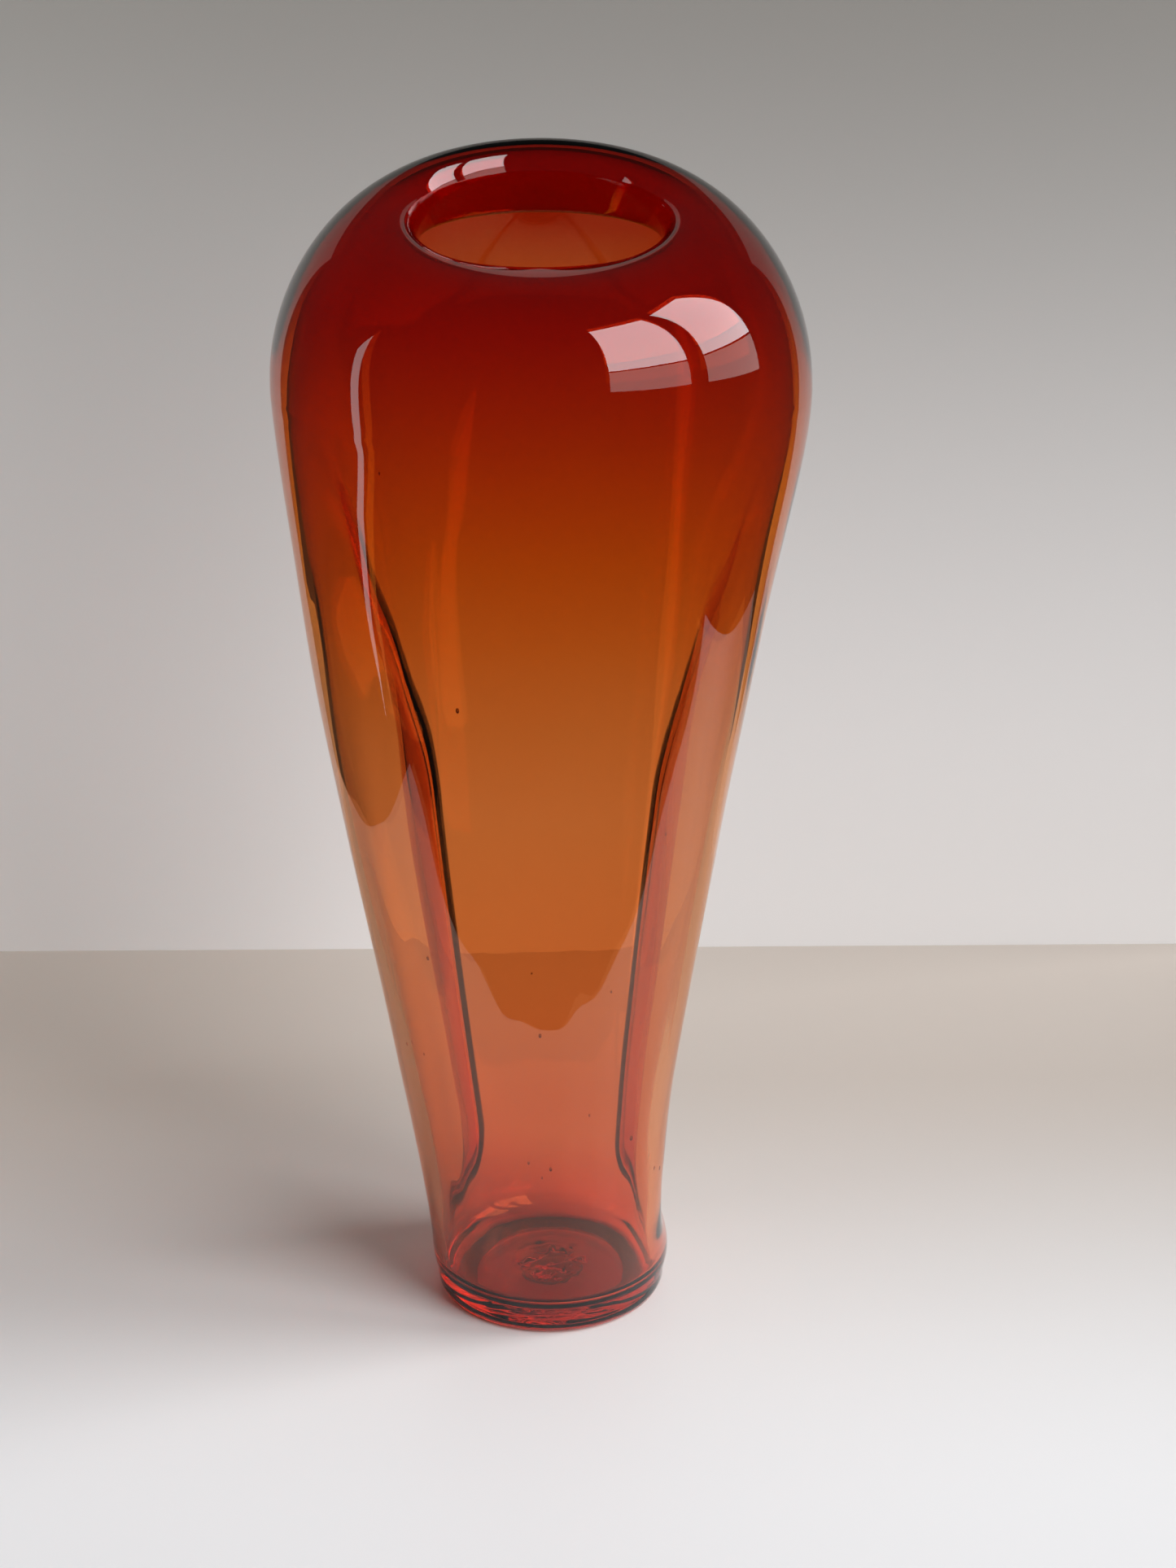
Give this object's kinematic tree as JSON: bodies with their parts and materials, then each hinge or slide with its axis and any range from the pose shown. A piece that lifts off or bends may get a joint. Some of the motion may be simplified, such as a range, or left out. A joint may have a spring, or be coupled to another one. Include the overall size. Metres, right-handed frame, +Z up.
{
  "type": "art glass vase",
  "caption": "Tall upturned-teardrop glass vase, domed top leaning forward round a turned-in mouth, long taper pinched in on both sides, small round foot; holds stems or stands as decoration.",
  "frame": {"origin": "centre of the bounding box on the plane the foot stands on", "axes": "+Z up, from the foot to the mouth; -Y is the front of the vase, the broad face between the two deep pinches, which the domed top leans toward"},
  "size_m": [0.1507, 0.1532, 0.3504],
  "materials": {
    "casing_glass": "fire-polished clear glass gathered over the colour",
    "color_glass": "heat-struck ruby fading to amber, blown and fire-polished",
    "foot_glass": "fire-polished, underside worn satin where it stands",
    "pontil_glass": "broken off and melted smooth"
  },
  "bodies": {
    "root": {"outer_casing": "casing_glass", "color_core": "color_glass", "foot_pad": "foot_glass", "pontil_button": "pontil_glass"}
  },
  "joints": []
}
